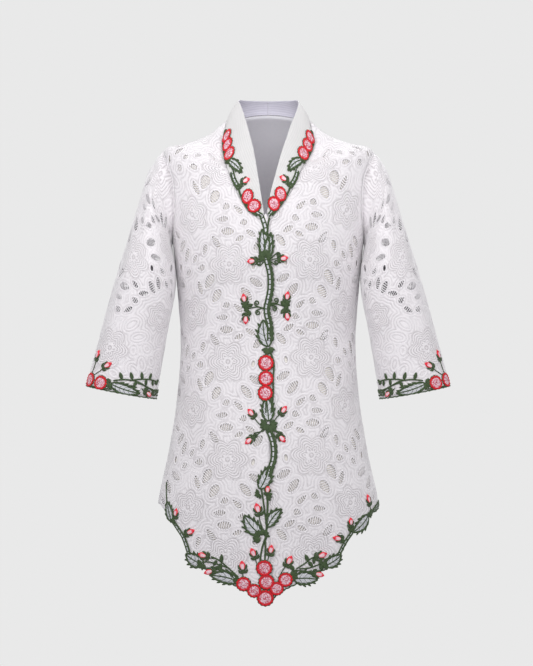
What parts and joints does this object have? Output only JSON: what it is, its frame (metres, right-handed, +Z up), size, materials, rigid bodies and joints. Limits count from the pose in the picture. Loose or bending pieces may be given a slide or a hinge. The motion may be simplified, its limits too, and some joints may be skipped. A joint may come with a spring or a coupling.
{
  "type": "kebaya blouse",
  "caption": "Worn hollow form of an open-fronted lace blouse with a stand collar, wide elbow sleeves, a pointed front hem and floral embroidery.",
  "frame": {"origin": "the middle of the wearer's shoulder line, from which the blouse hangs", "axes": "+Z up, -Y out of the wearer's front, +X towards the wearer's left"},
  "size_m": [0.668, 0.2632, 0.9251],
  "materials": {
    "lace": "matt openwork lace",
    "lining": "matt woven lining",
    "band": "matt lace over woven band",
    "embroidery": "satin stitch thread"
  },
  "bodies": {
    "root": {"collar_left": "band", "collar_right": "band", "embroidery_collar_left": "embroidery", "embroidery_collar_right": "embroidery", "embroidery_cuff_left_back": "embroidery", "embroidery_cuff_left_front": "embroidery", "embroidery_cuff_right_back": "embroidery", "embroidery_cuff_right_front": "embroidery", "embroidery_fronts": "embroidery", "lace_back": "lace", "lace_front_left": "lace", "lace_front_right": "lace", "lining_back": "lining", "lining_front_left": "lining", "lining_front_right": "lining", "sleeve_left_back": "lace", "sleeve_left_front": "lace", "sleeve_right_back": "lace", "sleeve_right_front": "lace"}
  },
  "joints": []
}
